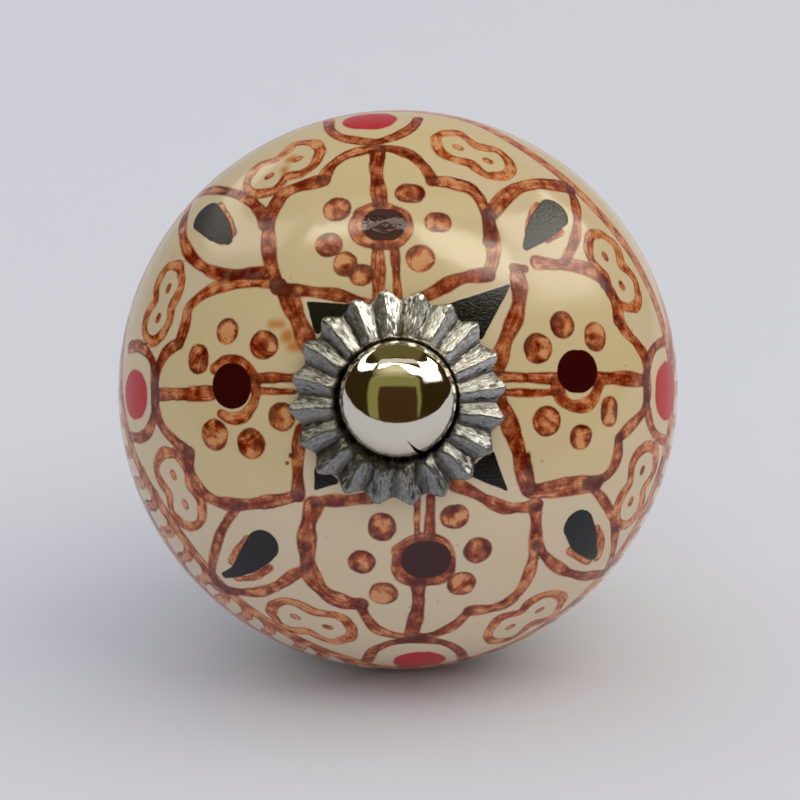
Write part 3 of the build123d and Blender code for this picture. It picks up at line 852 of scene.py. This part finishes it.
bolt = {
    "headTop": 33.2, "headBase": 30.3,
    "head": [(0, 0), (1.6, 0.25), (2.7, 0.85), (3.3, 1.6), (3.55, 2.2)],  # radius, and drop below the top
    "shank": 1.773, "root": 1.565, "crest": 2.0, "nutFace": 0.6, "nutTop": 3.8, "tip": -22.5, "tipRound": 0.1,
    "pitch": 0.7, "crestFrom": 0.26, "crestTo": 0.36, "flankEnd": 0.62, "sunk": 0.01,  # one turn of the thread
    "turns": 32, "segments": 48, "smooth": 30, "weld": 0.001,
    "chamfer": 0.5, "chamferCuts": 4, "chamferCut": 0.95, "chamferPast": 0.2,  # turned down in steps
}
headRun = [(r, bolt["headTop"] - drop) for r, drop in bolt["head"]]
shank = drawProfile("throughBolt", [
    *headRun, (headRun[-1][0], bolt["headBase"]), (bolt["shank"], bolt["headBase"]), (bolt["shank"], bolt["nutTop"]),
    (bolt["root"], bolt["nutTop"]), (bolt["root"], bolt["tip"] + bolt["tipRound"]),
    (bolt["root"] - bolt["tipRound"], bolt["tip"]), (0, bolt["tip"]),
])
turnProfile(bolt["segments"])
bpy.ops.object.mode_set(mode="OBJECT")
foot = bolt["root"] - bolt["sunk"]
rolled = [(foot, 0.0), (bolt["crest"], -bolt["crestFrom"]), (bolt["crest"], -bolt["crestTo"]),
          (foot, -bolt["flankEnd"]), (foot, -bolt["pitch"])]
thread = drawProfile("boltThread", [(r, h + bolt["nutFace"]) for r, h in rolled])
bpy.ops.object.mode_set(mode="OBJECT")
addModifier(thread, "SCREW", axis="Y", angle=tau, screw_offset=bolt["pitch"] * mm, iterations=bolt["turns"],
            steps=bolt["segments"], render_steps=bolt["segments"], use_merge_vertices=True,
            merge_threshold=bolt["weld"] * mm)
bpy.ops.object.mode_set(mode="EDIT")
bpy.ops.mesh.select_all(action="SELECT")
bpy.ops.mesh.remove_doubles(threshold=bolt["weld"] * mm)
bpy.ops.mesh.normals_make_consistent(inside=False)
for left in range(bolt["chamferCuts"], 0, -1):  # the first turns at the tip are turned down to a chamfer
    end = bolt["tip"] + bolt["chamfer"] * left / bolt["chamferCuts"] + bolt["chamferPast"]
    pick(thread, lambda r, h, a: h < end and r > bolt["root"] + onRing)
    scaleRound(bolt["chamferCut"])
bpy.ops.object.mode_set(mode="OBJECT")
activate(thread, shank)
bpy.ops.object.join()
bpy.ops.object.shade_smooth_by_angle(angle=radians(bolt["smooth"]))

# Zinc-plated steel: cool grey, soft shine, faint cloudy passivation
steelLook = {
    "pale": "#C4C7CA", "dark": "#A3A6A8", "cloud": 1.5, "grit": 0.15,
    "gloss": (0.3, 0.7, 0.22, 0.36), "relief": 0.02, "reliefShare": 0.25,
}
steel, tree = newMaterial("zincPlatedSteel")
inMm = placeInMm(tree)
cloud = addNode(tree, "TexNoise", {"Vector": inMm, "Scale": 1 / steelLook["cloud"], "Detail": 3.0})
grit = addNode(tree, "TexNoise", {"Vector": inMm, "Scale": 1 / steelLook["grit"], "Detail": 2.0})
colour = addNode(tree, "Mix", {
    0: cloud, 6: hexColour(steelLook["dark"]), 7: hexColour(steelLook["pale"])}, data_type="RGBA", out=2)
gloss = addNode(tree, "MapRange", [grit, *steelLook["gloss"]])
platedSurface(tree, colour, gloss, {
    "Height": grit, "Strength": steelLook["reliefShare"], "Distance": steelLook["relief"] * mm})
finishPiece(shank, "through_bolt", steel)


# Ferrule, washer and nut keep their own solids and get their plating

# Nickel plate on drawn sheet: bright, with faint rings of tool marks
satinLook = {
    "tone": "#D2CDC1", "marks": 0.25, "markLong": 5.0, "cloud": 2.0,
    "gloss": (0.3, 0.7, 0.1, 0.2), "relief": 0.02, "reliefShare": 0.2,
}
satin, tree = newMaterial("nickelPlatedSheet")
inMm = placeInMm(tree)
markScale = (1 / satinLook["markLong"], 1 / satinLook["marks"], 1 / satinLook["markLong"])
ringed = addNode(tree, "VectorMath", [inMm, markScale], operation="MULTIPLY")
marks = addNode(tree, "TexNoise", {"Vector": ringed, "Scale": 1.0, "Detail": 2.0})
cloud = addNode(tree, "TexNoise", {"Vector": inMm, "Scale": 1 / satinLook["cloud"], "Detail": 3.0})
gloss = addNode(tree, "MapRange", [cloud, *satinLook["gloss"]])
platedSurface(tree, hexColour(satinLook["tone"]), gloss, {
    "Height": marks, "Strength": satinLook["reliefShare"], "Distance": satinLook["relief"] * mm})
for node, finish in {"back_ferrule": satin, "nut_washer": steel, "hex_nut": steel}.items():
    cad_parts[node].data.materials.clear()
    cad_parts[node].data.materials.append(finish)
print("plating on the ferrule, washer and nut")


# Stage: pale paper that rises behind the knob, soft light from the side and the front,
# and what the glaze and the mirror cap see of the room

stage = {  # lengths in metres, apart from the paper's depth under the bolt in millimetres
    "paper": "#E2E4EC", "matt": 0.9, "shine": 0.1, "tilt": 20.0, "under": 20.433, "wide": 3.0,
    "tableEdge": -0.1034, "front": -1.2, "back": 0.9, "bend": 0.3, "bendSteps": 12, "tall": 1.5,
    "ambient": "#F6F8FF", "skyLow": 0.06, "skyHigh": 0.98, "skyFull": 0.8,  # brighter overhead than at the horizon
    "room": "#33270F", "background": "#CBCBD2",
}
belts = {  # elevations and azimuths in degrees, then the glow
    "leftWindow": {"distance": 0.72, "low": 47, "high": 59, "left": -150, "right": -38, "light": 2.3},
    "rightWindow": {"distance": 0.72, "low": 48, "high": 62, "left": 38, "right": 118, "light": 4.4},
    "blind": {"distance": 0.71, "low": 57, "high": 66, "left": -39, "right": 39, "light": 0.8},
}
beltLook = {"steps": 40, "widen": 1.5, "tone": "#FFF8E6"}
frontWindow = {  # azimuth, and the elevations of its sill and its head
    "distance": 0.54, "light": 7.0,
    "run": [(-40, 44, 51), (-25, 46, 54), (-13, 51, 54), (-3, 52.3, 54.6), (4, 51.5, 54.2), (9, 45.5, 53),
            (22, 36, 51), (36, 32.5, 46), (46, 30, 44)],
}
cards = {  # azimuth, elevation, width and height in degrees, distance, colour, glow, soft edge or none for a lamp
    "overheadSoftbox": (62, 46, 60, 46, 0.9, "#FFF6E4", 1.75, None),
    "frontFill": (0, -3, 70, 34, 0.7, "#FFFDFA", 0.72, None),
    "sideGlow": (66, 33, 52, 24, 0.6, "#FFFAF0", 4.6, 0.3),
    "archWall": (-6, 3, 96, 78, 0.56, "#8F8A50", 1.0, 0.06),
    "darkDoorway": (0, -7, 62, 56, 0.5, "#46321A", 1.0, 0.06),
    "archGlow": (-4, 44, 78, 28, 0.53, "#E6DDB4", 1.1, 0.4),
    "oliveCeiling": (0, 95, 70, 60, 0.8, "#6B6236", 1.0, 0.1),
}


def paperMaterial(name):
    material, tree = newMaterial(name)
    shader = addNode(tree, "BsdfPrincipled", {
        "Base Color": hexColour(stage["paper"]), "Roughness": stage["matt"], "Specular IOR Level": stage["shine"]})
    addNode(tree, "OutputMaterial", {"Surface": shader})
    return material


def glowMaterial(name, code, strength, soft=None):
    material, tree = newMaterial(name)
    shader = addNode(tree, "Emission", {"Color": hexColour(code), "Strength": strength})
    if soft:  # the card fades towards its edges
        spot = addNode(tree, "TexCoord", out="UV")
        spot = addNode(tree, "VectorMath", [spot, (0.5, 0.5, 0)], operation="SUBTRACT")
        spot = addNode(tree, "VectorMath", [spot], operation="ABSOLUTE")
        sides = addNode(tree, "SeparateXYZ", [spot]).node.outputs[:2]
        fades = [addNode(tree, "MapRange", [side, 0.5, 0.5 - soft, 0.0, 1.0]) for side in sides]
        cover = addNode(tree, "Math", fades, operation="MULTIPLY")
        clear = addNode(tree, "BsdfTransparent")
        shader = addNode(tree, "MixShader", [cover, clear, shader])
    addNode(tree, "OutputMaterial", {"Surface": shader})
    return material


def layPaper(name, front, back):  # flat paper, tilted about the line where the knob touches it
    bpy.ops.mesh.primitive_plane_add(size=1)
    paper = startPiece(name)
    bpy.ops.transform.resize(value=(stage["wide"], back - front, 1), center_override=(0, 0, 0))
    bpy.ops.transform.translate(value=(0, (front + back) / 2, 0))
    paper.location = (0, -ceramic["equator"] * mm, -stage["under"] * mm)
    paper.rotation_euler = (radians(stage["tilt"]), 0, 0)
    paper.data.materials.append(paperMaterial(name))
    return paper


def hangCard(card, material, lamp=False):  # lamps light the knob, and the other cards only show in it
    card.data.materials.append(material)
    card.visible_camera = card.visible_shadow = card.visible_transmission = False
    card.visible_diffuse, card.visible_glossy = lamp, not lamp


def toward(azimuth, elevation, distance):  # a place seen from the knob, the azimuth from the front towards +X
    a, e = radians(azimuth), radians(elevation)
    return np.array([sin(a) * cos(e), -cos(a) * cos(e), sin(e)]) * distance


sweep = layPaper("paperSweep", stage["tableEdge"], stage["back"])
pick(sweep, lambda r, h, a: h < 0)  # the back edge, which bends up into a wall
for k in range(stage["bendSteps"]):
    a, b = [n * pi / (2 * stage["bendSteps"]) for n in (k, k + 1)]
    move = (0, stage["bend"] * (sin(b) - sin(a)), stage["bend"] * (cos(a) - cos(b)))
    bpy.ops.mesh.extrude_edges_move(TRANSFORM_OT_translate={"value": move})
bpy.ops.mesh.extrude_edges_move(TRANSFORM_OT_translate={"value": (0, 0, stage["tall"])})
bpy.ops.object.mode_set(mode="OBJECT")
bpy.ops.object.shade_smooth()
frontPaper = layPaper("frontPaper", stage["front"], stage["tableEdge"])
bpy.ops.object.mode_set(mode="OBJECT")
frontPaper.visible_glossy = False  # reflections see the table end here

for name, belt in belts.items():
    start = radians(belt["right"] - 90)  # with no window the spin runs clockwise
    low, high = [[belt["distance"] * f(radians(belt[end])) for f in (cos, sin)] for end in ("low", "high")]
    out = high[0] - low[0]
    bpy.ops.mesh.primitive_plane_add(size=mm)
    sky = startPiece(name)
    bpy.ops.mesh.merge(type="CENTER")
    bpy.ops.transform.translate(value=(low[0] * cos(start), low[0] * sin(start), low[1]))
    move = (out * cos(start), out * sin(start), high[1] - low[1])
    bpy.ops.mesh.extrude_vertices_move(TRANSFORM_OT_translate={"value": move})
    bpy.ops.mesh.select_all(action="SELECT")
    span = radians(belt["right"] - belt["left"])
    bpy.ops.mesh.spin(steps=beltLook["steps"], angle=span, center=(0, 0, 0), axis=(0, 0, 1))
    bpy.ops.mesh.select_all(action="SELECT")
    bpy.ops.transform.resize(value=(beltLook["widen"], 1, 1), center_override=(0, 0, 0))
    bpy.ops.object.mode_set(mode="OBJECT")
    hangCard(sky, glowMaterial(name, beltLook["tone"], belt["light"]))

bpy.ops.mesh.primitive_plane_add(size=mm)
pane = startPiece("frontWindow")
bpy.ops.mesh.delete(type="VERT")
for edge in (1, 2):  # the sill, then the head, and the glass between them
    bpy.ops.mesh.primitive_plane_add(size=mm)
    bpy.ops.mesh.merge(type="CENTER")
    run = [toward(stop[0], stop[edge], frontWindow["distance"]) for stop in frontWindow["run"]]
    bpy.ops.transform.translate(value=run[0])
    for here, there in zip(run, run[1:]):
        bpy.ops.mesh.extrude_vertices_move(TRANSFORM_OT_translate={"value": there - here})
bpy.ops.mesh.select_all(action="SELECT")
bpy.ops.mesh.bridge_edge_loops()
bpy.ops.object.mode_set(mode="OBJECT")
hangCard(pane, glowMaterial("frontWindow", beltLook["tone"], frontWindow["light"]))

for name, (azimuth, elevation, wide, tall, distance, code, strength, soft) in cards.items():
    turned = (pi / 2 - radians(elevation), 0, radians(azimuth))
    bpy.ops.mesh.primitive_plane_add(size=1, location=toward(azimuth, elevation, distance), rotation=turned)
    card = bpy.context.object
    card.name = card.data.name = name
    card.scale = (distance * radians(wide), distance * radians(tall), 1)
    hangCard(card, glowMaterial(name, code, strength, soft), lamp=soft is None)

# Soft light from all round; reflections see a dim room, and the camera a pale wall
world = bpy.data.worlds.new("studio")
bpy.context.scene.world = world
world.use_nodes = True
tree = world.node_tree
tree.nodes.clear()
rays = addNode(tree, "LightPath").node.outputs
direction = addNode(tree, "TexCoord", out="Generated")
overhead = addNode(tree, "SeparateXYZ", [direction], out="Z")
overhead = addNode(tree, "MapRange", [overhead, 0.0, stage["skyFull"], stage["skyLow"], stage["skyHigh"]])
tint = addNode(tree, "VectorMath", {0: hexColour(stage["ambient"])[:3], "Scale": overhead}, operation="SCALE")
for ray, name in (("Is Glossy Ray", "room"), ("Is Camera Ray", "background")):
    tint = addNode(tree, "Mix", {0: rays[ray], 6: tint, 7: hexColour(stage[name])}, data_type="RGBA", out=2)
background = addNode(tree, "Background", {"Color": tint, "Strength": 1.0})
addNode(tree, "OutputWorld", {"Surface": background})
print("stage and light set")


# Camera, square to the face and a little above it

view = {"elevation": 2.5, "distance": 300.0, "lens": 188.66, "right": 0.143, "down": 0.716, "clip": 0.01}
e = radians(view["elevation"])
aim = (view["right"], -ceramic["equator"] - view["down"] * sin(e), -view["down"] * cos(e))
seat = (aim[0], aim[1] - view["distance"] * cos(e), aim[2] + view["distance"] * sin(e))
bpy.ops.object.camera_add(location=[c * mm for c in seat], rotation=(pi / 2 - e, 0, 0))
camera = bpy.context.object
camera.data.lens = view["lens"]
camera.data.clip_start = view["clip"]
bpy.context.scene.camera = camera
bpy.context.scene.view_settings.view_transform = "Standard"

bpy.context.view_layer.update()
